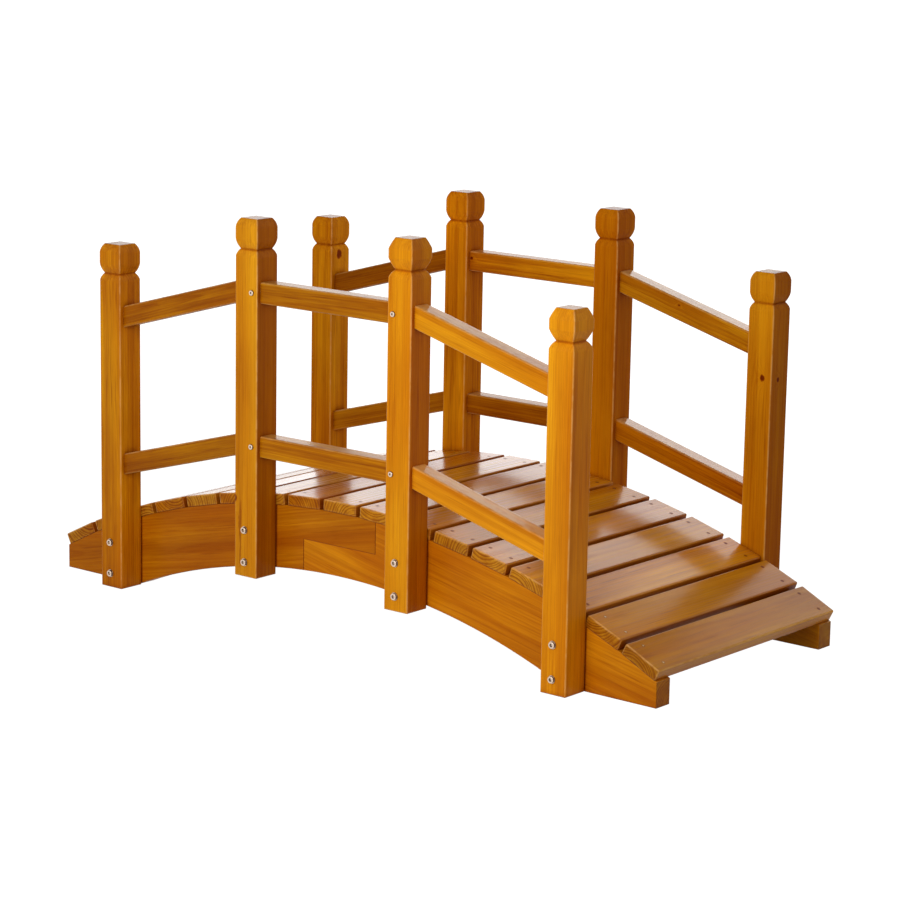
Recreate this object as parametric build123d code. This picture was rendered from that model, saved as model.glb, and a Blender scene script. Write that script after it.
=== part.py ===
from build123d import *
import os
from math import asin, atan2, cos, degrees, hypot, sin, sqrt

# Arched timber garden footbridge with railings. Units are millimetres.
# +X runs along the bridge, from its rear end to its front end. +Y is the left side of a
# person who walks forward, and +Z is up. The origin lies on the ground under the middle.

# ---- Stringers: the two arched side beams that stand on the ground ----
half_length = 750.0          # from the middle of the bridge to a stringer's end face
deck_width = 570.0           # over the outer faces of the stringers, and a board's length
stringer_thickness = 42.0
stringer_end_height = 48.0   # top of a stringer at its end face
stringer_crown = 234.0       # top of a stringer in the middle
foot_length = 208.0          # flat length at each end that stands on the ground
arch_rise = 109.5            # underside of a stringer in the middle
lap_half_length = 91.0       # half the length of the lap that joins two stringer halves
lower_tongue_depth = 59.5    # depth of the lap's lower tongue in the middle
lap_end_gap = 0.6            # between a tongue's end and the shoulder that it meets
stringer_edge_radius = 1.5   # round both side faces

# ---- Deck boards ----
board_count = 17
board_gap = 9.5              # between the undersides of two boards
board_thickness = 22.0
board_edge_radius = 3.0      # along the long top edges
board_end_radius = 1.5       # round the top and the corners of each end

# ---- Posts ----
post_width = 57.5
post_length = 699.0
post_edge_radius = 3.0
mid_post_x = 192.0           # from the middle of the bridge to a middle post's axis
end_post_inset = 186.0       # from a stringer's end face to an end post's axis
mid_post_hang = 5.5          # below the stringer's underside at the post's outboard face
post_foot_chamfer = 1.5

# The cap is cut out of the post's top: a narrow neck under a cushion-shaped head. It comes in
# a soft and a firm shape. Each inset is measured from the post's face.
cap_height = 59.0            # from the neck to the top
shoulder_height = 16.0
shoulder_bow = 1.5           # how far the shoulder's curve stands out from its chord
cap_edge_radius = 1.5        # up the cap's and the shoulder's corners, and round the top
cap_shapes = {
    "soft": {
        "neck_inset": 7.3,
        "lower_curve": 21.0,     # height of the curve from the neck to the cap's straight side
        "lower_bow": 1.5,        # how far the curve stands out from its chord
        "upper_curve": 17.5,     # height of the curve from the straight side to the top
        "upper_bow": 1.5,
        "top_inset": 7.5,
    },
    "firm": {
        "neck_inset": 9.6,
        "lower_curve": 21.5,
        "lower_bow": 0.8,
        "upper_curve": 20.0,
        "upper_bow": 0.5,
        "top_inset": 8.8,
    },
}
firm_caps = ("post_right_front_middle", "post_right_front_end")

# ---- Rails ----
rail_height = 41.5           # square to the rail's length
rail_thickness = 38.0
rail_setback = 9.0           # from the posts' outer faces
rail_edge_radius = 4.0
middle_rail_drop = 119.5     # from a middle post's top to the upper rail's top edge
sloping_rail_drop = 121.0    # the same in the two end bays, at both of a rail's posts
rail_spacing = 299.0         # from an upper rail down to the lower rail

# ---- Bolts and screws ----
bolt_heights = (29.0, 93.0)  # over the foot of a post
bolt_offset = -2.0           # along X, from the middle of a post's face
bolt_diameter = 8.0
bolt_bite = 30.0             # depth in the stringer
bolt_washer = (15.0, 1.2)    # diameter and thickness
bolt_head = (13.0, 3.8)
bolt_socket = (6.6, 3.0)     # width over the flats, and depth
screw_offset = 15.0          # along X, from a middle post's middle towards the middle bay
screw_diameter = 4.5
screw_bite = 40.0            # depth in the post
screw_head = (10.5, 3.0)
screw_socket = (4.0, 2.0)
fastener_edge_radius = 1.0
hole_clearance = 0.3         # on the radius, and past the tip of a bolt or screw

cut_margin = 10.0            # how far a cutting shape reaches past what it cuts
tolerance = 0.01             # for finding edges by their place

# ---- Sizes that follow ----
stringer_face = deck_width / 2
post_face = stringer_face + post_width
post_y = stringer_face + post_width / 2
rail_y = post_face - rail_setback - rail_thickness / 2
end_post_x = half_length - end_post_inset


def arc_radius(half_chord, rise):
    """Radius of a circular arc from half its chord and its rise."""
    return (half_chord ** 2 + rise ** 2) / (2 * rise)


def arc_height(radius, crown, x):
    """Height at x of an arc whose crown stands over the middle of the bridge."""
    return crown - radius + sqrt(radius ** 2 - x ** 2)


deck_radius = arc_radius(half_length, stringer_crown - stringer_end_height)
arch_half_span = half_length - foot_length
arch_radius = arc_radius(arch_half_span, arch_rise)
board_angle = 2 * asin(half_length / deck_radius) / board_count
board_width = 2 * deck_radius * sin(board_angle / 2) - board_gap
mid_post_base = arc_height(arch_radius, arch_rise, mid_post_x + post_width / 2) - mid_post_hang
lap_height = arch_rise + lower_tongue_depth

sides = {"right": -1, "left": 1}
ends = {"rear": -1, "front": 1}


def flat_shape(*corners):
    """A face in the XZ plane with straight sides between the corners."""
    with BuildSketch(Plane.XZ) as sketch:
        with BuildLine():
            Polyline(*corners, close=True)
        make_face()
    return sketch.sketch


def plate(outline, thickness):
    """A plate with the outline given in X and Z, centred on Y."""
    return extrude(outline, thickness / 2, both=True)


# ---- Stringers ----
def seat_points():
    """Corners of the stringer's top edge: one flat seat for each board, rear to front."""
    points = []
    for corner in range(board_count + 1):
        angle = (corner - board_count / 2) * board_angle
        height = stringer_crown - deck_radius * (1 - cos(angle))
        points.append((deck_radius * sin(angle), height))
    return points


def stringer_outline():
    """The whole stringer from end to end, in the XZ plane."""
    seats = seat_points()
    with BuildSketch(Plane.XZ) as sketch:
        with BuildLine():
            Polyline(*seats)
            Line(seats[-1], (half_length, 0))
            Line((half_length, 0), (arch_half_span, 0))
            ThreePointArc((arch_half_span, 0), (0, arch_rise), (-arch_half_span, 0))
            Line((-arch_half_span, 0), (-half_length, 0))
            Line((-half_length, 0), seats[0])
        make_face()
    return sketch.sketch


def half_region(end):
    """Where one stringer half lies: the rear half has the lap's upper tongue."""
    if end == "rear":
        outside = -half_length - cut_margin
        lower_x = -lap_half_length - lap_end_gap
        upper_x = lap_half_length
    else:
        outside = half_length + cut_margin
        lower_x = -lap_half_length
        upper_x = lap_half_length + lap_end_gap
    bottom = -cut_margin
    top = stringer_crown + cut_margin
    return flat_shape(
        (outside, bottom),
        (lower_x, bottom),
        (lower_x, lap_height),
        (upper_x, lap_height),
        (upper_x, top),
        (outside, top),
    )


def y_cylinder(diameter, length, x, z, start_y, direction):
    """A cylinder that starts at start_y and runs along +Y or -Y."""
    plane = Plane(origin=(x, start_y, z), z_dir=(0, direction, 0))
    return extrude(plane * Circle(diameter / 2), length)


def post_places(side):
    """Each post's name, X and foot height on one side."""
    places = {}
    for end, sign in ends.items():
        places[f"post_{side}_{end}_end"] = (sign * end_post_x, 0.0)
        places[f"post_{side}_{end}_middle"] = (sign * mid_post_x, mid_post_base)
    return places


def bolt_places(side):
    """X and Z of every post bolt on one side."""
    places = []
    for x, base in post_places(side).values():
        for height in bolt_heights:
            places.append((x + bolt_offset, base + height))
    return places


def make_stringers(nodes):
    hole = bolt_diameter + 2 * hole_clearance
    for side, sign in sides.items():
        middle_y = sign * (stringer_face - stringer_thickness / 2)
        whole = plate(stringer_outline(), stringer_thickness)
        side_edges = whole.faces().filter_by(Axis.Y).edges()
        whole = Pos(0, middle_y, 0) * fillet(side_edges, stringer_edge_radius)
        for x, z in bolt_places(side):
            depth = bolt_bite + hole_clearance
            whole -= y_cylinder(hole, depth, x, z, sign * stringer_face, -sign)
        for end in ends:
            half = plate(half_region(end), stringer_thickness + cut_margin)
            nodes[f"stringer_{side}_{end}"] = whole & Pos(0, middle_y, 0) * half


# ---- Deck boards ----
def make_boards(nodes):
    seats = seat_points()
    blank = Box(board_width, deck_width, board_thickness, align=(Align.CENTER, Align.CENTER, Align.MIN))
    upper = blank.edges().filter_by(Axis.Y).group_by(Axis.Z)[-1]
    blank = fillet(upper, board_edge_radius)
    ends = blank.faces().filter_by(Axis.Y).edges().filter_by(Axis.X).group_by(Axis.Z)[-1]
    blank = fillet(ends, board_end_radius)
    for number in range(board_count):
        (x0, z0), (x1, z1) = seats[number], seats[number + 1]
        slope = degrees(atan2(z0 - z1, x1 - x0))
        place = Pos((x0 + x1) / 2, 0, (z0 + z1) / 2) * Rot(0, slope, 0)
        nodes[f"deck_board_{number + 1:02d}"] = place * blank


# ---- Posts ----
def bowed(start, end, bow):
    """An arc from start to end, on the positive side of X, that stands out from its chord by bow."""
    rise_x = end[0] - start[0]
    rise_z = end[1] - start[1]
    length = hypot(rise_x, rise_z)
    middle_x = (start[0] + end[0]) / 2 + bow * rise_z / length
    middle_z = (start[1] + end[1]) / 2 - bow * rise_x / length
    return ThreePointArc(start, (middle_x, middle_z), end)


def post_outline(shape):
    """Half section of a post's silhouette, mirrored about its middle line."""
    half = post_width / 2
    neck_z = post_length - cap_height
    foot = (half, post_foot_chamfer)
    shoulder = (half, neck_z - shoulder_height)
    neck = (half - shape["neck_inset"], neck_z)
    widest_low = (half, neck_z + shape["lower_curve"])
    widest_high = (half, post_length - shape["upper_curve"])
    top = (half - shape["top_inset"], post_length)
    with BuildSketch(Plane.XZ) as sketch:
        with BuildLine():
            Line((0, 0), (half - post_foot_chamfer, 0))
            Line((half - post_foot_chamfer, 0), foot)
            Line(foot, shoulder)
            bowed(shoulder, neck, shoulder_bow)
            bowed(neck, widest_low, shape["lower_bow"])
            Line(widest_low, widest_high)
            bowed(widest_high, top, shape["upper_bow"])
            Line(top, (0, post_length))
            Line((0, post_length), (0, 0))
        make_face()
        mirror(about=Plane.YZ)
    return sketch.sketch


def cap_edges(post):
    """The sharp edges up the corners over the shoulder, and the four round the cap's top."""
    shoulder = post_length - cap_height - shoulder_height
    found = []
    for edge in post.edges():
        start, middle, end = edge.position_at(0), edge.position_at(0.5), edge.position_at(1)
        low = min(start.Z, end.Z)
        climbs = max(start.Z, end.Z) - low > tolerance
        on_corner = abs(abs(middle.X) - abs(middle.Y)) < tolerance
        if low > post_length - tolerance or (climbs and on_corner and low > shoulder + tolerance):
            found.append(edge)
    return found


def plain_post(shape):
    """A post with its foot at the origin: the outline cut from both pairs of faces."""
    along_x = plate(post_outline(shape), post_width)
    along_y = Rot(0, 0, 90) * along_x
    neck_z = post_length - cap_height
    bottom = (Align.CENTER, Align.CENTER, Align.MIN)
    shaft = Box(post_width, post_width, neck_z, align=bottom)
    shaft = fillet(shaft.edges().filter_by(Axis.Z), post_edge_radius)
    head = Pos(0, 0, neck_z) * Box(post_width, post_width, cap_height, align=bottom)
    post = along_x & along_y & (shaft + head)
    return fillet(cap_edges(post), cap_edge_radius)


def screw_places(side):
    """X and Z of every rail screw on one side."""
    places = []
    for sign in ends.values():
        x = sign * (mid_post_x - screw_offset)
        for drop in (0, rail_spacing):
            z = mid_post_base + post_length - middle_rail_drop - rail_height / 2 - drop
            places.append((x, z))
    return places


def make_posts(nodes):
    blanks = {name: plain_post(shape) for name, shape in cap_shapes.items()}
    bolt_hole = bolt_diameter + 2 * hole_clearance
    screw_hole = screw_diameter + 2 * hole_clearance
    for side, sign in sides.items():
        for name, (x, base) in post_places(side).items():
            blank = blanks["firm" if name in firm_caps else "soft"]
            post = Pos(x, sign * post_y, base) * blank
            for height in bolt_heights:
                z = base + height
                post -= y_cylinder(bolt_hole, post_width, x + bolt_offset, z, sign * post_face, -sign)
            if abs(x) == mid_post_x:
                for screw_x, z in screw_places(side):
                    if screw_x * x > 0:
                        depth = screw_bite + hole_clearance
                        post -= y_cylinder(screw_hole, depth, screw_x, z, sign * post_face, -sign)
            nodes[name] = post


# ---- Rails ----
def rail_between(x0, top0, x1, top1):
    """A rail whose top edge runs from (x0, top0) to (x1, top1), with upright ends."""
    slope = hypot(x1 - x0, top1 - top0) / (x1 - x0)
    depth = rail_height * slope
    outline = flat_shape((x0, top0), (x1, top1), (x1, top1 - depth), (x0, top0 - depth))
    rail = plate(outline, rail_thickness)
    long_edges = rail.edges().group_by(SortBy.LENGTH)[-1]
    return fillet(long_edges, rail_edge_radius)


def make_rails(nodes):
    half = post_width / 2
    mid_post_top = mid_post_base + post_length
    spans = {
        "rear": (
            -end_post_x + half,
            post_length - sloping_rail_drop,
            -mid_post_x - half,
            mid_post_top - sloping_rail_drop,
        ),
        "middle": (
            -mid_post_x + half,
            mid_post_top - middle_rail_drop,
            mid_post_x - half,
            mid_post_top - middle_rail_drop,
        ),
        "front": (
            mid_post_x + half,
            mid_post_top - sloping_rail_drop,
            end_post_x - half,
            post_length - sloping_rail_drop,
        ),
    }
    for bay, (x0, top0, x1, top1) in spans.items():
        for level, drop in (("upper", 0), ("lower", rail_spacing)):
            rail = rail_between(x0, top0 - drop, x1, top1 - drop)
            for side, sign in sides.items():
                nodes[f"rail_{side}_{bay}_{level}"] = Pos(0, sign * rail_y, 0) * rail


# ---- Bolts and screws ----
def fastener(shank_diameter, shank_length, head, socket, washer=None):
    """A socket-head bolt or screw along +Z, with the face that it seats on at Z = 0."""
    base = 0
    solid = Pos(0, 0, -shank_length) * Cylinder(
        shank_diameter / 2, shank_length, align=(Align.CENTER, Align.CENTER, Align.MIN)
    )
    if washer is not None:
        solid += Cylinder(washer[0] / 2, washer[1], align=(Align.CENTER, Align.CENTER, Align.MIN))
        base = washer[1]
    cap = Cylinder(head[0] / 2, head[1], align=(Align.CENTER, Align.CENTER, Align.MIN))
    cap = fillet(cap.edges().group_by(Axis.Z)[-1], fastener_edge_radius)
    solid += Pos(0, 0, base) * cap
    hexagon = RegularPolygon(socket[0] / 2, 6, major_radius=False)
    solid -= Pos(0, 0, base + head[1] - socket[1]) * extrude(hexagon, socket[1])
    return solid


def seated(solid, x, z, sign):
    """Turns a fastener to point out of a post's outer face and puts it there."""
    plane = Plane(origin=(x, sign * post_face, z), x_dir=(1, 0, 0), z_dir=(0, sign, 0))
    return plane.location * solid


def make_fasteners(nodes):
    bolt = fastener(bolt_diameter, post_width + bolt_bite, bolt_head, bolt_socket, bolt_washer)
    screw = fastener(screw_diameter, screw_bite, screw_head, screw_socket)
    for side, sign in sides.items():
        bolts = [seated(bolt, x, z, sign) for x, z in bolt_places(side)]
        screws = [seated(screw, x, z, sign) for x, z in screw_places(side)]
        nodes[f"post_bolts_{side}"] = Compound(children=bolts)
        nodes[f"rail_screws_{side}"] = Compound(children=screws)


def main():
    nodes = {}
    make_stringers(nodes)
    make_boards(nodes)
    make_posts(nodes)
    make_rails(nodes)
    make_fasteners(nodes)
    os.makedirs("parts", exist_ok=True)
    for name, solid in nodes.items():
        export_step(solid, f"parts/{name}.step")


main()
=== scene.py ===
from math import cos, pi, radians, sin

import bmesh
import bpy
from mathutils import Matrix, Vector


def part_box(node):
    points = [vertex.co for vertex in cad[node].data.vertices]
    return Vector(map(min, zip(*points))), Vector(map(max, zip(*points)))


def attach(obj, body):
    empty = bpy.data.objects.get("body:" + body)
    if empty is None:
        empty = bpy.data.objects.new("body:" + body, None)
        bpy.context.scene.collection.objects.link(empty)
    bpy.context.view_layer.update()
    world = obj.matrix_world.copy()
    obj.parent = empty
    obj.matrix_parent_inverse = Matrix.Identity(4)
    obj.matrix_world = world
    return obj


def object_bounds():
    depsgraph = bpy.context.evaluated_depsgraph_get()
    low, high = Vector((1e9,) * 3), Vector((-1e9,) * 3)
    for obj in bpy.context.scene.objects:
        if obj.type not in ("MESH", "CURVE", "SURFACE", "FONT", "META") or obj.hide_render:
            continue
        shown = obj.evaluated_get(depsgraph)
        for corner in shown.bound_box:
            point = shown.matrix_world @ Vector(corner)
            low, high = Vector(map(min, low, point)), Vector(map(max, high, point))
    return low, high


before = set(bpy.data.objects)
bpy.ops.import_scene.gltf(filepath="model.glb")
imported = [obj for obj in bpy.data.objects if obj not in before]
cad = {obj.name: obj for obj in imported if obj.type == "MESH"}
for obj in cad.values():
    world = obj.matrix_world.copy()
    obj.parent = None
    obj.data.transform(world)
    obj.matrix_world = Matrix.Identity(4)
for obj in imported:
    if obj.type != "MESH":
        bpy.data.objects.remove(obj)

cad_low, cad_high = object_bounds()
scene = bpy.context.scene

# Lengths are in metres. "Right" is the side at -Y and "front" the end at +X.
UP = Vector((0, 0, 1))
ALONG_X = Vector((1, 0, 0))
ALONG_Y = Vector((0, 1, 0))

# ---- Stain and varnish: linear colours at a stain depth of 1 ----
AMBER = (0.70, 0.255, 0.0045)
HONEY = (0.62, 0.212, 0.0040)
RUSSET = (0.62, 0.225, 0.0070)
SHADE = (0.54, 0.368, 0.28)  # what one unit of dark figure multiplies a colour by
WORN_AND_HIGHLIGHT = (0.86, 0.50, 0.19)    # where handling and sanding have thinned the stain, and painted highlight on edges and tops

# Indices of refraction. The wood's are low, so that its upright faces keep their colour in a white room.
WOOD_IOR = 1.14
LEFT_POST_IOR = 1.07
LEFT_RAIL_IOR = 1.09
COAT_IOR = 1.5

# ---- Timbers: how deep the stain is, and how light the wood under it is ----
# A post's third number is how much darker its +X side is. A board's is the weight of the coat on its top.
POST_FINISH = {
    "post_right_rear_end": (1.15, 0.81, -0.08),
    "post_right_rear_middle": (0.95, 0.93, 0.48),
    "post_right_front_middle": (1.11, 0.96, 0.30),
    "post_right_front_end": (1.01, 1.03, 0.05),
    "post_left_rear_end": (1.12, 0.90, -0.06),
    "post_left_rear_middle": (1.18, 0.96, 0.17),
    "post_left_front_middle": (1.20, 0.85, 0.20),
    "post_left_front_end": (1.02, 0.91, 0.40),
}
RAIL_TONE = 1.025  # scales the second number of every rail
RAIL_FINISH = {
    "rail_right_rear_upper": (1.30, 0.54),
    "rail_right_rear_lower": (1.22, 0.52),
    "rail_right_middle_upper": (1.14, 0.58),
    "rail_right_middle_lower": (1.11, 0.64),
    "rail_right_front_upper": (1.07, 0.90),
    "rail_right_front_lower": (0.97, 1.06),
    "rail_left_rear_upper": (1.38, 0.50),
    "rail_left_rear_lower": (0.98, 0.69),
    "rail_left_middle_upper": (1.13, 0.85),
    "rail_left_middle_lower": (1.30, 0.59),
    "rail_left_front_upper": (1.07, 0.72),
    "rail_left_front_lower": (1.28, 0.74),
}
# Boards 01 to 08 have no entry: their stain swings a little from one to the next.
BOARD_FINISH = {
    "deck_board_09": (0.95, 1.10, 0.70),
    "deck_board_10": (1.03, 1.07, 0.64),
    "deck_board_11": (0.94, 1.17, 0.46),
    "deck_board_12": (1.01, 1.00, 0.42),
    "deck_board_13": (0.94, 1.10, 0.76),
    "deck_board_14": (0.96, 1.08, 0.65),
    "deck_board_15": (0.95, 1.26, 0.57),
    "deck_board_16": (1.04, 1.00, 0.36),
    "deck_board_17": (0.98, 0.88, 0.34),
}
STRINGER_FINISH = {
    "stringer_right_rear": (1.12, 0.82),
    "stringer_right_front": (1.09, 0.95),
    # The left stringers' low tones are the wood's own, and painted shade for their inner faces under the
    # deck.
    "stringer_left_rear": (1.00, 0.78),
    "stringer_left_front": (0.95, 0.76),
}
# How strong the figure of a post is, where it isn't the usual 0.8.
POST_FIGURE = {"post_right_rear_end": 1.3, "post_left_rear_end": 1.1, "post_left_rear_middle": 1.3}

# Knots: where in the piece, as shares of its half size from its middle (X, Y, Z), and their size.
# A timber has room for two.
KNOTS = {
    "post_right_rear_end": [((0.2, 1.0, 0.30), 0.0050)],
    "post_right_rear_middle": [((-0.95, -1.0, -0.56), 0.0050)],
    "post_right_front_middle": [((-1.0, 0.2, -0.15), 0.0045)],
    "post_left_rear_end": [((1.0, -0.15, 0.775), 0.0080)],
    "post_left_rear_middle": [((1.0, -0.5, -0.24), 0.0032)],
    "post_left_front_end": [((0.27, -1.0, 0.42), 0.0052), ((1.0, -0.2, 0.41), 0.0036)],
    "rail_right_front_lower": [((-0.3, 1.0, 0.2), 0.0035)],
    "rail_left_middle_upper": [((-0.97, -1.0, 0.3), 0.0030)],
    "rail_left_front_upper": [((-0.08, -1.0, 0.2), 0.0018)],
}
KNOT_SLOTS = (1, 2)
NO_KNOT = ((9.0, 9.0, 9.0), 0.001)  # far outside every timber

# ---- Sizes ----
ARRIS = 0.0018               # how far the sanding eases a sharp edge
CAP_HEIGHT = 0.059           # from a post's top to the groove of its neck
PITCH_X = -0.2055            # the middle of the pitch streak on a post
PITCH_Z = 0.172
RAIL_HALF = (0.019, 0.02075, 0.17)     # half sizes across, through and along the grain
BOARD_HALF = (0.0411, 0.011, 0.285)
STRINGER_HALF = (0.021, 0.5, 1.0)      # the last two are out of reach: the bevel alone finds its curved edges
STRINGER_TILT = 12           # degrees by which the grain of a stringer's half slopes down to the end
LAP_HALF_LENGTH = 0.0912     # of the half lap in the middle of a stringer
LAP_HEIGHT = 0.169
NAIL_FROM_END = 0.032        # from a board's end to its nails
NAIL_FROM_MIDDLE = 0.025     # from a board's middle line to its nails
NAIL_SIDES = 20
LOW_NAIL_RADIUS = 0.0020
DOMED_NAIL_RADIUS = 0.0024

# Nail heads: shares of the radius, and heights above the board.
LOW_HEAD = ((0.0, 0.00038), (0.4, 0.00036), (0.8, 0.00026), (1.0, 0.00008), (1.0, -0.0012))
DOMED_HEAD = ((0.0, 0.0012), (0.35, 0.00113), (0.65, 0.0009), (0.85, 0.0006), (1.0, 0.0001), (1.0, -0.0012))
LIT_NAIL_BOARDS = ("deck_board_16", "deck_board_17")  # boards whose right-end nails have domed heads and the bright metal, a painted glint
HARDWARE = ("post_bolts_right", "post_bolts_left", "rail_screws_right", "rail_screws_left")


# ---- Node trees ----
class Graph:
    """Short calls that add nodes. Values are sockets or constants, and each call returns a socket."""

    def __init__(self, owner):
        """Starts an empty tree in a material or world, or goes on with a node group."""
        if isinstance(owner, bpy.types.NodeTree):
            self.tree = owner
            return
        owner.use_nodes = True
        self.tree = owner.node_tree
        self.tree.nodes.clear()

    def add(self, kind, **settings):
        node = self.tree.nodes.new("ShaderNode" + kind)
        for name, value in settings.items():
            setattr(node, name, value)
        return node

    def feed(self, socket, value):
        if isinstance(value, bpy.types.NodeSocket):
            self.tree.links.new(value, socket)
        else:
            socket.default_value = value

    def math(self, operation, *values, clamp=False):
        node = self.add("Math", operation=operation, use_clamp=clamp)
        for socket, value in zip(node.inputs, values):
            self.feed(socket, value)
        return node.outputs[0]

    def total(self, *values):
        result = values[0]
        for value in values[1:]:
            result = self.math("ADD", result, value)
        return result

    def product(self, *values):
        result = values[0]
        for value in values[1:]:
            result = self.math("MULTIPLY", result, value)
        return result

    def absolute(self, value):
        return self.math("ABSOLUTE", value)

    def larger(self, first, second):
        return self.math("MAXIMUM", first, second)

    def vector(self, operation, *values, out="Vector"):
        node = self.add("VectorMath", operation=operation)
        for socket, value in zip(node.inputs, values):
            self.feed(socket, value)
        return node.outputs[out]

    def scaled(self, vector, factor):
        node = self.add("VectorMath", operation="SCALE")
        self.feed(node.inputs[0], vector)
        self.feed(node.inputs["Scale"], factor)
        return node.outputs[0]

    def parts(self, vector):
        node = self.add("SeparateXYZ")
        self.feed(node.inputs[0], vector)
        return node.outputs

    def noise(self, vector, scale, detail=2.0, roughness=0.5, out="Fac"):
        """A noise of 0 to 1. The scale is how fast it changes along each axis, per metre."""
        node = self.add("TexNoise")
        self.feed(node.inputs["Vector"], self.vector("MULTIPLY", vector, scale))
        node.inputs["Scale"].default_value = 1.0
        node.inputs["Detail"].default_value = detail
        node.inputs["Roughness"].default_value = roughness
        return node.outputs[out]

    def swing(self, value, amount):
        """From a noise of 0 to 1 to a swing of about plus or minus amount."""
        return self.math("MULTIPLY_ADD", value, 2 * amount, -amount)

    def smooth(self, value, zero_at, one_at):
        """0 on one side of the two limits and 1 on the other, with a soft step between them."""
        node = self.add("MapRange", interpolation_type="SMOOTHSTEP")
        self.feed(node.inputs["Value"], value)
        node.inputs["From Min"].default_value = zero_at
        node.inputs["From Max"].default_value = one_at
        return node.outputs[0]

    def blend(self, factor, first, second):
        node = self.add("Mix", data_type="RGBA")
        self.feed(node.inputs[0], factor)
        self.feed(node.inputs[6], first)
        self.feed(node.inputs[7], second)
        return node.outputs[2]

    def surface(self, shader):
        self.feed(self.add("OutputMaterial").inputs["Surface"], shader)


def opaque(colour):
    return (*colour, 1.0)


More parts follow.
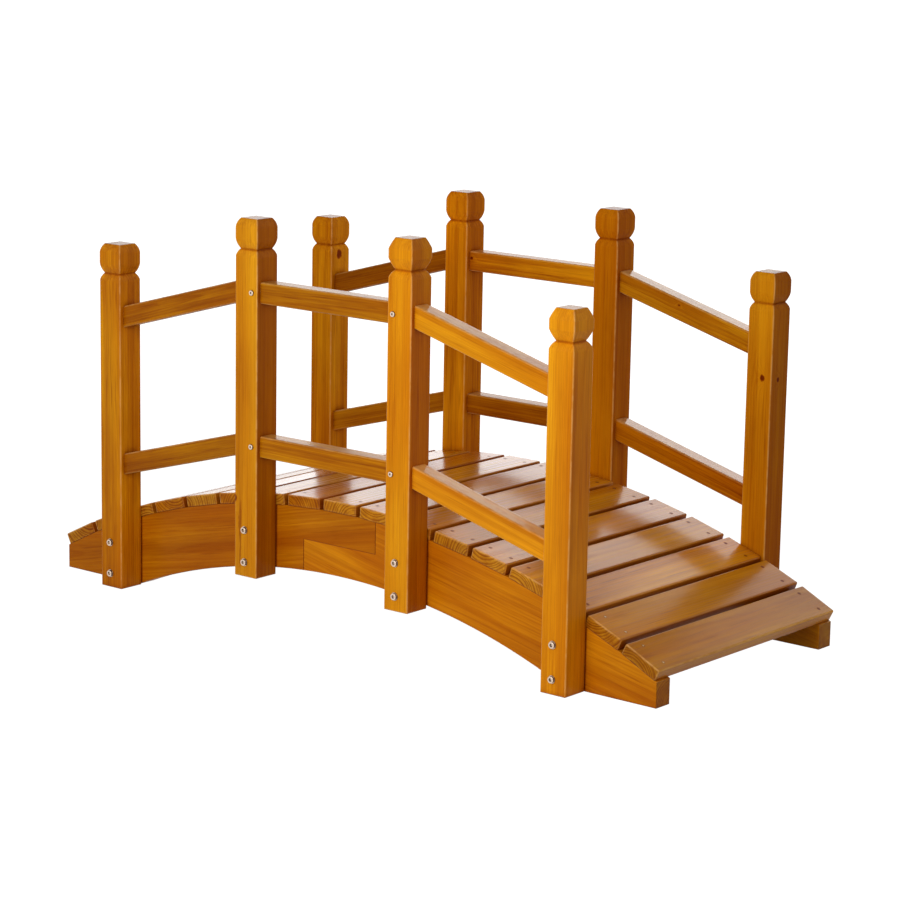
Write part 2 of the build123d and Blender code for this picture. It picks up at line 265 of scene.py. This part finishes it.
# ---- Wood ----
def timber_group():
    """The figure of stained softwood. Place is in metres, with Z along the grain."""
    group = bpy.data.node_groups.new("timber_figure", "ShaderNodeTree")
    inputs = (
        ("Place", "Vector"),
        ("Pith", "Vector"),
        ("Shift", "Vector"),
        ("Ring", "Float"),
        ("Stain", "Float"),
        ("Contrast", "Float"),
        ("Figure", "Float"),
        ("Tone", "Float"),
        ("Edge", "Float"),
        ("Wear and highlight", "Float"),
        ("End", "Float"),
        ("Dirt and shade", "Float"),
        ("Knot 1", "Vector"),
        ("Size 1", "Float"),
        ("Knot 2", "Vector"),
        ("Size 2", "Float"),
        ("Colour", "Color"),
    )
    for name, kind in inputs:
        group.interface.new_socket(name, in_out="INPUT", socket_type="NodeSocket" + kind)
    for name, kind in (("Colour", "Color"), ("Grain", "Float"), ("Relief", "Float")):
        group.interface.new_socket(name, in_out="OUTPUT", socket_type="NodeSocket" + kind)
    g = Graph(group)
    given = group.nodes.new("NodeGroupInput").outputs
    result = group.nodes.new("NodeGroupOutput").inputs
    place = given["Place"]
    shifted = g.vector("ADD", place, given["Shift"])

    # The grain wanders slowly along the timber and ripples a little.
    centre = (0.5, 0.5, 0.5)
    wander = g.vector("SUBTRACT", g.noise(shifted, (6.0, 6.0, 1.3), 1.0, out="Color"), centre)
    ripple = g.vector("SUBTRACT", g.noise(shifted, (55.0, 55.0, 6.0), 1.0, out="Color"), centre)
    across = g.vector("SUBTRACT", place, given["Pith"])
    across = g.vector("ADD", across, g.scaled(wander, 0.022))
    across = g.vector("ADD", across, g.scaled(ripple, 0.0022))
    across = g.vector("MULTIPLY", across, (1.0, 1.0, 0.0))
    radius = g.vector("LENGTH", across, out="Value")

    # The grain flows round a knot, which is a dark core with a ragged rim.
    core = 0.0
    for number in KNOT_SLOTS:
        size = given[f"Size {number}"]
        away = g.vector("SUBTRACT", place, given[f"Knot {number}"])
        near = g.vector("LENGTH", g.vector("MULTIPLY", away, (1.0, 1.0, 0.75)), out="Value")
        share = g.math("DIVIDE", near, g.math("ADD", size, 0.0001))
        share = g.math("ADD", share, g.swing(g.noise(shifted, (300.0, 300.0, 200.0), 2.0), 0.35))
        swell = g.math("EXPONENT", g.math("MULTIPLY", g.product(share, share), -0.16))
        radius = g.math("ADD", radius, g.product(size, swell, 2.6))
        core = g.larger(core, g.smooth(share, 1.15, 0.55))

    # Growth rings: pale early wood that darkens slowly, then the late wood's sharp outer side.
    drift = g.add("TexNoise", noise_dimensions="1D")
    g.feed(drift.inputs["W"], g.math("MULTIPLY_ADD", radius, 55.0, g.parts(given["Shift"])[0]))
    drift.inputs["Scale"].default_value = 1.0
    drift.inputs["Detail"].default_value = 1.0
    turns = g.math("ADD", g.math("DIVIDE", radius, given["Ring"]), g.swing(drift.outputs["Fac"], 1.1))
    year = g.math("FLOOR", turns)
    phase = g.math("FRACT", turns)
    late = g.product(g.smooth(phase, 0.25, 0.92), g.smooth(phase, 1.0, 0.93))
    strength = g.add("TexWhiteNoise", noise_dimensions="1D")
    g.feed(strength.inputs["W"], year)
    late = g.product(late, g.math("MULTIPLY_ADD", strength.outputs["Value"], 0.75, 0.35))

    # What the stain brings out, from broad bands to single fibres.
    streak = g.noise(shifted, (105.0, 105.0, 2.4), 3.0, 0.6)
    band = g.noise(shifted, (38.0, 38.0, 1.1), 1.0)
    thread = g.noise(shifted, (270.0, 270.0, 5.0), 2.0, 0.6)
    fibre = g.noise(shifted, (900.0, 900.0, 24.0), 2.0, 0.6)
    blotch = g.noise(shifted, (9.0, 9.0, 4.0), 2.0)
    canal = g.smooth(g.noise(shifted, (520.0, 520.0, 26.0), 0.0), 0.70, 0.80)
    dash = g.smooth(g.noise(shifted, (240.0, 240.0, 9.0), 1.0), 0.60, 0.76)
    tint = g.noise(shifted, (14.0, 14.0, 2.2), 1.0)

    swings = g.total(
        g.product(late, given["Contrast"]),
        g.swing(streak, 0.40),
        g.swing(band, 0.50),
        g.swing(thread, 0.26),
        g.swing(fibre, 0.26),
        g.swing(blotch, 0.48),
        g.product(canal, 0.14),
        g.product(dash, 0.32),
    )
    shade = g.total(
        g.product(swings, given["Figure"]),
        g.product(given["End"], g.math("MULTIPLY_ADD", late, 0.90, 0.14)),
        # Edges come out lighter here: rubbed stain, and painted highlight.
        g.product(given["Edge"], -0.12),
        # Painted shade from creases, gaps and hollows darkens the colour here, together with real marks.
        g.product(given["Dirt and shade"], 1.6),
        g.product(core, 1.9),
    )
    hue = g.total(
        given["Stain"],
        g.swing(tint, 0.26),
        g.product(late, 0.06),
        g.product(core, 0.3),
        g.product(given["End"], -0.10),
    )
    stained = g.add("Gamma")
    g.feed(stained.inputs["Color"], given["Colour"])
    g.feed(stained.inputs["Gamma"], hue)
    shaded = g.add("Gamma")
    shaded.inputs["Color"].default_value = opaque(SHADE)
    g.feed(shaded.inputs["Gamma"], shade)
    colour = g.vector("MULTIPLY", stained.outputs[0], shaded.outputs[0])
    end_tone = g.math("MULTIPLY_ADD", given["End"], -0.20, 1.0)
    colour = g.scaled(colour, g.product(given["Tone"], end_tone))
    # The pale colour blended in on edges and tops is rubbed stain, with painted highlight and painted light.
    patches = g.smooth(g.noise(shifted, (85.0, 85.0, 45.0), 2.0, 0.6), 0.36, 0.62)
    worn_and_highlit = g.product(given["Edge"], given["Wear and highlight"], g.math("MULTIPLY_ADD", patches, 0.6, 0.4))
    g.feed(result["Colour"], g.blend(worn_and_highlit, colour, opaque(WORN_AND_HIGHLIGHT)))
    grain = g.total(late, g.swing(streak, 0.9), g.swing(fibre, 0.6), g.product(given["End"], 0.8))
    g.feed(result["Grain"], grain)
    relief = g.total(
        g.product(late, 0.000022),
        g.swing(band, 0.00012),
        g.swing(streak, 0.00004),
        g.swing(fibre, 0.000008),
        g.product(canal, -0.00002),
        g.product(core, -0.0001),
    )
    g.feed(result["Relief"], relief)
    return group


figure = timber_group()


def own_place(g, place, middle, axes):
    """A place from the timber's middle, along the timber's own axes."""
    local = g.add("Mapping", vector_type="TEXTURE")
    g.feed(local.inputs["Vector"], place)
    local.inputs["Location"].default_value = middle
    local.inputs["Rotation"].default_value = Matrix(axes).transposed().to_euler()
    return local.outputs[0]


def darker_side(g, place, amount, stain, tone):
    """The stain and tone of a post whose +X side is darker than the others."""
    x, y, _ = g.parts(place)
    side = g.smooth(g.math("SUBTRACT", x, g.absolute(y)), -0.0010, 0.0012)
    return (
        g.math("MULTIPLY_ADD", side, 0.8 * amount, stain),
        g.math("MULTIPLY_ADD", side, -0.75 * amount * tone, tone),
    )


def edge_nearness(g, place, half, width):
    """1 at a box's edges and 0 away from them: the middle one of the distances to its faces."""
    x, y, z = (
        g.math("SUBTRACT", size, g.absolute(value))
        for size, value in zip(half, g.parts(place))
    )
    low = g.math("MINIMUM", x, y)
    high = g.larger(x, y)
    middle = g.larger(low, g.math("MINIMUM", high, z))
    return g.smooth(middle, width, 0.0)


def worn_and_highlit_edges(g, place, normal, eased, half, facing_up, corners, top_wear_and_light):
    """Rubbed stain and painted highlight: edges, a cushion cap's corners if asked, and tops as far as asked.
    """
    turned = g.vector("DOT_PRODUCT", eased, normal, out="Value")
    worn_and_highlit = g.larger(edge_nearness(g, place, half, 0.0035), g.smooth(turned, 0.99, 0.88))
    if corners:
        x, y = (g.absolute(value) for value in g.parts(place)[:2])
        line = g.smooth(g.absolute(g.math("SUBTRACT", x, y)), 0.0034, 0.0008)
        worn_and_highlit = g.larger(worn_and_highlit, g.product(line, g.math("SUBTRACT", 1.0, facing_up)))
    if top_wear_and_light:
        worn_and_highlit = g.larger(worn_and_highlit, g.product(facing_up, top_wear_and_light))
    return worn_and_highlit


def timber(
    name, colour, stain, tone, middle, axes, half, *,
    seed, pith, ring, contrast, gloss, crease, wear_and_highlight, figure_depth=1.0, knots=(), marks=None,
    dark_side=0.0, corners=False, top_wear_and_light=0.0, top_coat=0.45, ior=WOOD_IOR,
):
    """A material for one timber.

    Its axes are the directions across, through and along the grain, and the half sizes go with them.
    Pith is where the tree's middle runs, and ring is how wide a year's growth is. Crease is how far
    painted shade reaches from an inner corner, and how dark it is. Marks adds more: stains, joint lines and
    painted shade.
    """
    material = bpy.data.materials.new(name)
    g = Graph(material)
    coordinates = g.add("TexCoord").outputs
    normal = coordinates["Normal"]
    place = own_place(g, coordinates["Object"], middle, axes)
    end = g.smooth(g.absolute(g.vector("DOT_PRODUCT", normal, axes[2], out="Value")), 0.75, 0.95)
    facing_up = g.smooth(g.parts(normal)[2], 0.6, 0.9)
    eased = g.add("Bevel", samples=6)
    eased.inputs["Radius"].default_value = ARRIS
    if dark_side:
        stain, tone = darker_side(g, place, dark_side, stain, tone)

    # Painted shade: ambient occlusion darkens the colour in inner corners, creases and gaps.
    hollow = g.add("AmbientOcclusion", samples=6)
    hollow.inputs["Distance"].default_value = crease[0]
    painted_crease_shade = g.product(g.smooth(hollow.outputs["AO"], 0.80, 0.35), crease[1])
    dirt_and_shade = g.total(painted_crease_shade, marks(g, place, coordinates["Object"]) if marks else 0.0)
    clear_of_shade_and_dirt = g.math("SUBTRACT", 1.0, g.math("MULTIPLY", dirt_and_shade, 2.5, clamp=True))
    worn_and_highlit = worn_and_highlit_edges(g, place, normal, eased.outputs[0], half, facing_up, corners, top_wear_and_light)

    wood = g.add("Group", node_tree=figure)
    values = {
        "Place": place,
        "Pith": pith,
        "Shift": (seed * 0.37, seed * 0.91, seed * 1.63),
        "Ring": ring,
        "Stain": stain,
        "Contrast": contrast,
        "Figure": figure_depth,
        "Tone": tone,
        "Edge": g.product(worn_and_highlit, clear_of_shade_and_dirt),
        "Wear and highlight": wear_and_highlight,
        "End": end,
        "Dirt and shade": dirt_and_shade,
        "Colour": opaque(colour),
    }
    for number in KNOT_SLOTS:
        spot, size = knots[number - 1] if len(knots) >= number else NO_KNOT
        values[f"Knot {number}"] = spot
        values[f"Size {number}"] = size
    for socket, value in values.items():
        g.feed(wood.inputs[socket], value)

    bump = g.add("Bump")
    bump.inputs["Strength"].default_value = 1.0
    bump.inputs["Distance"].default_value = 1.0
    g.feed(bump.inputs["Height"], wood.outputs["Relief"])
    g.feed(bump.inputs["Normal"], eased.outputs[0])

    grain = wood.outputs["Grain"]
    shader = g.add("BsdfPrincipled")
    shader.inputs["IOR"].default_value = ior
    shader.inputs["Coat IOR"].default_value = COAT_IOR
    g.feed(shader.inputs["Base Color"], wood.outputs["Colour"])
    g.feed(shader.inputs["Roughness"], g.math("MULTIPLY_ADD", grain, 0.07, gloss))
    g.feed(shader.inputs["Normal"], bump.outputs[0])
    g.feed(shader.inputs["Coat Weight"], g.product(facing_up, clear_of_shade_and_dirt, top_coat))
    g.feed(shader.inputs["Coat Roughness"], g.math("MULTIPLY_ADD", grain, 0.05, 0.13))
    g.feed(shader.inputs["Coat Normal"], bump.outputs[0])
    g.surface(shader.outputs[0])
    return material


def names_of(kind):
    """The CAD nodes of one kind of timber, in order."""
    return sorted(name for name in cad if name.startswith(kind) and name not in HARDWARE)


def use(name, material):
    cad[name].material_slots[0].material = material


def middle_and_half(name):
    low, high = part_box(name)
    return (low + high) / 2, (high - low) / 2


def uphill(name):
    """The direction square to a sloping timber's top face, in the XZ plane."""
    faces = [p for p in cad[name].data.polygons if abs(p.normal.y) < 0.01 and abs(p.normal.z) > 0.7]
    normal = max(faces, key=lambda p: p.area).normal
    normal = Vector((normal.x, 0.0, normal.z)).normalized()
    return normal if normal.z > 0 else -normal


def pith_beside(angle, distance):
    """A tree's middle that runs outside a timber, at an angle round it and a distance from its middle."""
    return (distance * cos(angle), distance * sin(angle), 0.0)


def knots_of(name, axes, half):
    """Knots in a timber's own axes. Each place is given as shares of its box's half size."""
    found = []
    for shares, size in KNOTS.get(name, ()):
        offset = Vector([share * reach for share, reach in zip(shares, half)])
        found.append((tuple(offset.dot(axis) for axis in axes), size))
    return found


# ---- Posts ----
def pitch_streak(g, world):
    """A dark pitch streak up the outer face of a right post, beside its bolts."""
    x, y, z = g.parts(world)
    ragged = g.swing(g.noise(world, (150.0, 150.0, 40.0), 3.0, 0.7), 0.0060)
    across = g.absolute(g.total(x, -PITCH_X, ragged))
    height = g.absolute(g.math("SUBTRACT", z, PITCH_Z))
    streak = g.product(g.smooth(across, 0.0042, 0.0012), g.smooth(height, 0.078, 0.045), 0.42)
    return g.product(streak, g.smooth(y, -0.325, -0.338))


def post_marks(name, neck):
    """Painted shade in the groove of the neck, and a post's own marks."""
    def marks(g, place, world):
        height = g.absolute(g.math("SUBTRACT", g.parts(place)[2], neck))
        ragged = g.swing(g.noise(world, (260.0, 260.0, 260.0), 2.0), 0.0010)
        groove = g.product(g.smooth(g.math("ADD", height, ragged), 0.0036, 0.0006), 0.34)
        if name != "post_right_rear_middle":
            return groove
        return g.total(groove, pitch_streak(g, world))
    return marks


posts = names_of("post_")
for number, name in enumerate(posts):
    middle, half = middle_and_half(name)
    stain, tone, dark_side = POST_FINISH[name]
    axes = (ALONG_X, ALONG_Y, UP)
    material = timber(
        name, AMBER, stain, tone, middle, axes, half,
        seed=3.0 + number,
        pith=pith_beside(number * 2.4, 0.055),
        ring=0.0045,
        contrast=0.10,
        gloss=0.36,
        crease=(0.018, 0.50),
        wear_and_highlight=0.38,
        figure_depth=POST_FIGURE.get(name, 0.8),
        knots=knots_of(name, axes, half),
        marks=post_marks(name, half.z - CAP_HEIGHT),
        dark_side=dark_side,
        corners=True,
        ior=LEFT_POST_IOR if "left" in name else WOOD_IOR,
    )
    use(name, material)

# ---- Rails ----
for number, name in enumerate(names_of("rail_")):
    middle, half = middle_and_half(name)
    stain, tone = RAIL_FINISH[name]
    normal = uphill(name)
    axes = (ALONG_Y, normal, ALONG_Y.cross(normal))
    level = "middle" in name
    material = timber(
        name, AMBER, stain, RAIL_TONE * tone, middle, axes, RAIL_HALF,
        seed=21.0 + number,
        pith=pith_beside(1.0 + number * 1.9, 0.045),
        ring=0.0040,
        contrast=0.14,
        gloss=0.32,
        crease=(0.014, 0.40),
        wear_and_highlight=0.60,
        figure_depth=0.85 if "right_front" in name else 1.5,
        knots=knots_of(name, axes, half),
        # Rail tops are lightened: rubbed stain, and painted light from above.
        top_wear_and_light=0.55 if level else 0.95,
        top_coat=0.35 if level else 1.0,
        ior=LEFT_RAIL_IOR if "left" in name else WOOD_IOR,
    )
    use(name, material)


# ---- Deck boards ----
def board_marks(half_length, nail_dirt_and_shade, front_edge_shade):
    """Dark rings round the nails, as stain and the painted shade of a dimple, and painted shade along the
    front edge and under the board.

    The rings are as dark as the given nail darkness at the right end and 0.85 at the left one.
    """
    def marks(g, place, world):
        across, through, along = g.parts(place)
        # Painted shade along the front edge and under the board.
        front = g.smooth(across, BOARD_HALF[0] - 0.0050, BOARD_HALF[0] - 0.0018)
        edge = g.product(front, front_edge_shade)
        under = g.product(g.smooth(through, -0.0080, -0.0100), 0.35)
        x = g.math("SUBTRACT", g.absolute(across), NAIL_FROM_MIDDLE)
        z = g.math("SUBTRACT", g.absolute(along), half_length - NAIL_FROM_END)
        distance = g.math("SQRT", g.total(g.product(x, x), g.product(z, z)))
        ragged = g.swing(g.noise(world, (420.0, 420.0, 420.0), 2.0), 0.0012)
        # The nail rings: stain, and the painted shade of a dimple that the board doesn't have.
        left = g.smooth(g.parts(world)[1], -0.1, 0.1)
        depth = g.math("MULTIPLY_ADD", left, 0.85 - nail_dirt_and_shade, nail_dirt_and_shade)
        ring = g.product(g.smooth(g.math("ADD", distance, ragged), 0.0044, 0.0030), depth)
        return g.total(ring, g.larger(edge, under))
    return marks


boards = names_of("deck_board")
for number, name in enumerate(boards):
    middle, half = middle_and_half(name)
    normal = uphill(name)
    axes = (normal.cross(ALONG_Y) * -1, normal, ALONG_Y)
    usual = (1.02 + 0.10 * sin(number * 2.9), 1.04, 0.50)
    stain, tone, coat = BOARD_FINISH.get(name, usual)
    nail_dirt_and_shade = 0.30 if name in LIT_NAIL_BOARDS else 0.70
    front_edge_shade = 0.0 if name == boards[-1] else 0.28
    material = timber(
        name, RUSSET, stain, tone, middle, axes, BOARD_HALF,
        seed=41.0 + number,
        pith=pith_beside(0.7 + number * 2.2, 0.05),
        ring=0.0058,
        contrast=0.12,
        gloss=0.25,
        crease=(0.030, 0.42),
        wear_and_highlight=0.48,
        figure_depth=0.9,
        marks=board_marks(half.y, nail_dirt_and_shade, front_edge_shade),
        top_coat=coat,
    )
    use(name, material)


# ---- Stringers ----
def lap_lines(g, world):
    """The thin dark joint lines of the half lap in the middle of a stringer."""
    x, _, z = g.parts(world)
    reach = g.absolute(x)
    height = g.math("SUBTRACT", z, LAP_HEIGHT)
    flat = g.product(
        g.smooth(g.absolute(height), 0.0012, 0.0004),
        g.smooth(reach, LAP_HALF_LENGTH + 0.0008, LAP_HALF_LENGTH - 0.0004),
    )
    upright = g.smooth(g.absolute(g.math("SUBTRACT", reach, LAP_HALF_LENGTH)), 0.0016, 0.0006)
    own_side = g.math("GREATER_THAN", g.product(x, height), 0.0)
    return g.product(g.larger(flat, g.product(upright, own_side)), 0.38)


def joint_lines_and_contact_shadow(g, place, world):
    """Those of the lap, and a painted contact shadow down each side of a post where it meets the stringer."""
    x, y, _ = g.parts(world)
    lines = lap_lines(g, world)
    outside = g.smooth(g.absolute(y), stringer_face - 0.0022, stringer_face - 0.0008)
    ragged = g.swing(g.noise(world, (180.0, 180.0, 60.0), 2.0), 0.0010)
    # Painted contact shadow beside each post.
    for post_x, half_width in post_places:
        off = g.math("SUBTRACT", g.absolute(g.math("SUBTRACT", x, post_x)), half_width)
        line = g.smooth(g.math("ADD", off, ragged), 0.0030, 0.0006)
        lines = g.larger(lines, g.product(line, outside, 0.55))
    return lines


stringer_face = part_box("stringer_left_front")[1].y
spans = [middle_and_half(name) for name in posts]
post_places = sorted({(round(middle.x, 4), round(half.x, 5)) for middle, half in spans})
for number, name in enumerate(names_of("stringer_")):
    middle, half = middle_and_half(name)
    tilt = radians(-STRINGER_TILT if "rear" in name else STRINGER_TILT)
    along = Vector((cos(tilt), 0, -sin(tilt)))
    normal = Vector((sin(tilt), 0, cos(tilt)))
    stain, tone = STRINGER_FINISH[name]
    material = timber(
        name, HONEY, stain, tone, middle, (ALONG_Y, normal, along), STRINGER_HALF,
        seed=71.0 + number,
        pith=(0.03, -0.09 + 0.03 * number, 0.0),
        ring=0.0046,
        contrast=0.12,
        gloss=0.33,
        crease=(0.008, 0.60),
        wear_and_highlight=0.35,
        figure_depth=0.95,
        marks=joint_lines_and_contact_shadow,
    )
    use(name, material)


# ---- Zinc and nails ----
def open_face(g, normal):
    """1 on the faces of bolt heads that look along Y, and 0.25 on the walls of heads and washers, as painted
    shade.
    """
    facing = g.absolute(g.parts(normal)[1])
    return g.math("MULTIPLY_ADD", g.smooth(facing, 0.45, 0.85), 0.75, 0.25)


def metal(name, colour, rough, shaded_walls=False):
    """A metal that is speckled and cloudy, with painted shade in its hollows."""
    crevice = (0.03, 0.02, 0.012)
    material = bpy.data.materials.new(name)
    g = Graph(material)
    coordinates = g.add("TexCoord").outputs
    speckle = g.noise(coordinates["Object"], (700.0, 700.0, 700.0), 3.0)
    cloud = g.noise(coordinates["Object"], (120.0, 120.0, 120.0), 2.0)
    hollow = g.add("AmbientOcclusion", samples=8, only_local=True)
    hollow.inputs["Distance"].default_value = 0.004
    walls = open_face(g, coordinates["Normal"]) if shaded_walls else 1.0
    clear_of_shade_and_dirt = g.product(g.smooth(hollow.outputs["AO"], 0.15, 0.50), walls)
    shade = g.total(0.85, g.swing(speckle, 0.12), g.swing(cloud, 0.15))
    tint = g.blend(clear_of_shade_and_dirt, opaque(crevice), opaque(colour))
    bump = g.add("Bump")
    bump.inputs["Distance"].default_value = 1.0
    g.feed(bump.inputs["Height"], g.product(speckle, 0.00003))
    shader = g.add("BsdfPrincipled")
    shader.inputs["Metallic"].default_value = 1.0
    g.feed(shader.inputs["Base Color"], g.scaled(tint, shade))
    g.feed(shader.inputs["Roughness"], g.total(rough, g.swing(speckle, 0.12)))
    g.feed(shader.inputs["Normal"], bump.outputs[0])
    g.surface(shader.outputs[0])
    return material


zinc = metal("zinc_plate", (0.80, 0.63, 0.50), 0.30, shaded_walls=True)
# Lit and shaded copies of one nail metal: a painted glint on the right-end nails of boards 16 and 17, painted
# shade on the rest.
lit_nail = metal("nail_heads_bright", (0.97, 0.80, 0.48), 0.34)
shaded_nail = metal("nail_heads_dull", (0.20, 0.11, 0.05), 0.50)
for name in HARDWARE:
    use(name, zinc)


def add_nail(mesh, foot, across, normal, radius, profile):
    """One head: rings from the middle of its top down into the board, and a face that closes it."""
    rings = []
    for share, height in profile:
        if share == 0.0:
            rings.append([mesh.verts.new(foot + normal * height)])
            continue
        ring = []
        for k in range(NAIL_SIDES):
            angle = 2 * pi * k / NAIL_SIDES
            reach = across * cos(angle) + ALONG_Y * sin(angle)
            ring.append(mesh.verts.new(foot + reach * radius * share + normal * height))
        rings.append(ring)
    for inner, outer in zip(rings, rings[1:]):
        for k in range(NAIL_SIDES):
            n = (k + 1) % NAIL_SIDES
            if len(inner) == 1:
                mesh.faces.new((inner[0], outer[k], outer[n]))
            else:
                mesh.faces.new((inner[k], outer[k], outer[n], inner[n]))
    mesh.faces.new(list(reversed(rings[-1])))


def make_nails(piece_name, names, side, material, radius, profile):
    """The heads of the nails at one end of each of the named boards, two a board, as one mesh."""
    mesh = bmesh.new()
    for name in names:
        middle, half = middle_and_half(name)
        normal = uphill(name)
        across = ALONG_Y.cross(normal)
        top = middle + normal * BOARD_HALF[1]
        along = ALONG_Y * (side * (half.y - NAIL_FROM_END))
        for step in (-1, 1):
            foot = top + across * (step * NAIL_FROM_MIDDLE) + along
            add_nail(mesh, foot, across, normal, radius, profile)
    bmesh.ops.recalc_face_normals(mesh, faces=mesh.faces)
    data = bpy.data.meshes.new(piece_name)
    mesh.to_mesh(data)
    mesh.free()
    piece = bpy.data.objects.new(piece_name, data)
    scene.collection.objects.link(piece)
    data.materials.append(material)
    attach(piece, "root")


shaded_at_right = [name for name in boards if name not in LIT_NAIL_BOARDS]
make_nails("deck_nails_right", shaded_at_right, -1, shaded_nail, LOW_NAIL_RADIUS, LOW_HEAD)
make_nails("deck_nails_right_front", LIT_NAIL_BOARDS, -1, lit_nail, DOMED_NAIL_RADIUS, DOMED_HEAD)
make_nails("deck_nails_left", boards, 1, shaded_nail, LOW_NAIL_RADIUS, LOW_HEAD)

# ---- Camera ----
CAMERA_PLACE = Vector((3.6404, -4.3883, 1.5008))
CAMERA_AZIMUTH = radians(39.399)
CAMERA_ELEVATION = radians(11.745)
CAMERA_ROLL = radians(1.007)
CAMERA_LENS = 118.008  # in millimetres, as the sensor's width


def make_camera():
    """A camera at the photograph's viewing angle."""
    azimuth, elevation, roll = CAMERA_AZIMUTH, CAMERA_ELEVATION, CAMERA_ROLL
    back = Vector((sin(azimuth) * cos(elevation), -cos(azimuth) * cos(elevation), sin(elevation)))
    level = UP.cross(back).normalized()
    rise = back.cross(level)
    right = level * cos(roll) + rise * sin(roll)
    above = rise * cos(roll) - level * sin(roll)
    data = bpy.data.cameras.new("camera")
    data.sensor_width = 36.0
    data.lens = CAMERA_LENS
    data.clip_end = 200.0
    camera = bpy.data.objects.new("camera", data)
    turn = Matrix((right, above, back)).transposed().to_4x4()
    camera.matrix_world = Matrix.Translation(CAMERA_PLACE) @ turn
    scene.collection.objects.link(camera)
    scene.camera = camera


# ---- Floor, backdrop and light ----
FLOOR_RADIUS = 60.0
FLOOR_GAP = 0.0003            # the floor lies this far under the feet, so that no faces coincide
FLOOR_GREY = (0.62, 0.62, 0.62)
PAPER_WHITE = 1.22            # strength of the white that the camera sees of the floor
WHITE_SHARE = (0.84, 1.0)     # how much of it is mixed in, near the bridge and far from it
WHITE_REACH = (0.9, 2.6)      # how far from the middle the first share ends and the second starts
CEILING = 0.18                # strength of the world above the backdrop
BACKDROP = 0.70               # and below its upper edge
BACKDROP_EDGE = (0.576, 0.544)  # heights of directions that point 35 and 33 degrees up


def background_rays(g, mirror=None):
    """1 for the rays that show the white background: the camera's, and mirrored and clear ones.

    A mirror value scales the last two.
    """
    path = g.add("LightPath").outputs
    mirrored = g.larger(path["Is Glossy Ray"], path["Is Transmission Ray"])
    if mirror is not None:
        mirrored = g.product(mirrored, mirror)
    return g.larger(path["Is Camera Ray"], mirrored)


def make_floor():
    """A wide pale floor that keeps the bridge's shadow and shows nothing from below."""
    mesh = bmesh.new()
    bmesh.ops.create_circle(mesh, cap_ends=True, segments=96, radius=FLOOR_RADIUS)
    data = bpy.data.meshes.new("floor")
    mesh.to_mesh(data)
    mesh.free()
    floor = bpy.data.objects.new("floor", data)
    floor.location.z = cad_low.z - FLOOR_GAP
    scene.collection.objects.link(floor)
    material = bpy.data.materials.new("floor")
    g = Graph(material)
    plain = g.add("BsdfDiffuse")
    plain.inputs["Color"].default_value = opaque(FLOOR_GREY)
    white = g.add("Emission")
    white.inputs["Strength"].default_value = PAPER_WHITE
    reach = g.vector("LENGTH", g.add("TexCoord").outputs["Object"], out="Value")
    near, far = WHITE_SHARE
    share = g.math("MULTIPLY_ADD", g.smooth(reach, *WHITE_REACH), far - near, near)
    paper = g.add("MixShader")
    g.feed(paper.inputs[0], g.product(background_rays(g), share))
    g.feed(paper.inputs[1], plain.outputs[0])
    g.feed(paper.inputs[2], white.outputs[0])
    one_sided = g.add("MixShader")
    g.feed(one_sided.inputs[0], g.add("NewGeometry").outputs["Backfacing"])
    g.feed(one_sided.inputs[1], paper.outputs[0])
    g.feed(one_sided.inputs[2], g.add("BsdfTransparent").outputs[0])
    g.surface(one_sided.outputs[0])
    data.materials.append(material)


def make_world():
    """White to the camera.

    Elsewhere a bright backdrop all round, up to 33 to 35 degrees, under a dim ceiling.
    """
    world = bpy.data.worlds.new("studio")
    scene.world = world
    g = Graph(world)
    height = g.parts(g.add("TexCoord").outputs["Generated"])[2]
    backdrop = g.smooth(height, *BACKDROP_EDGE)
    white = background_rays(g, backdrop)
    dim = g.math("MULTIPLY_ADD", backdrop, BACKDROP - CEILING, CEILING)
    strength = g.total(g.product(dim, g.math("SUBTRACT", 1.0, white)), white)
    node = g.add("Background")
    node.inputs["Color"].default_value = (1, 1, 1, 1)
    g.feed(node.inputs["Strength"], strength)
    g.feed(g.add("OutputWorld").inputs["Surface"], node.outputs[0])


def make_lamp(name, place, target, size, power):
    data = bpy.data.lights.new(name, "AREA")
    data.shape = "RECTANGLE"
    data.size, data.size_y = size
    data.energy = power
    lamp = bpy.data.objects.new(name, data)
    lamp.location = place
    lamp.visible_camera = False
    lamp.rotation_mode = "QUATERNION"
    lamp.rotation_quaternion = (Vector(place) - Vector(target)).to_track_quat("Z", "Y")
    scene.collection.objects.link(lamp)


make_camera()
make_floor()
make_world()
make_lamp("key", place=(0.55, -2.35, 1.25), target=(0.0, 0.0, 0.35), size=(1.6, 1.4), power=30.0)
make_lamp("backdrop_glow", place=(-1.0, 2.2, 0.95), target=(-1.0, 0.0, 0.95), size=(4.4, 1.8), power=24.0)
scene.view_settings.view_transform = "Standard"
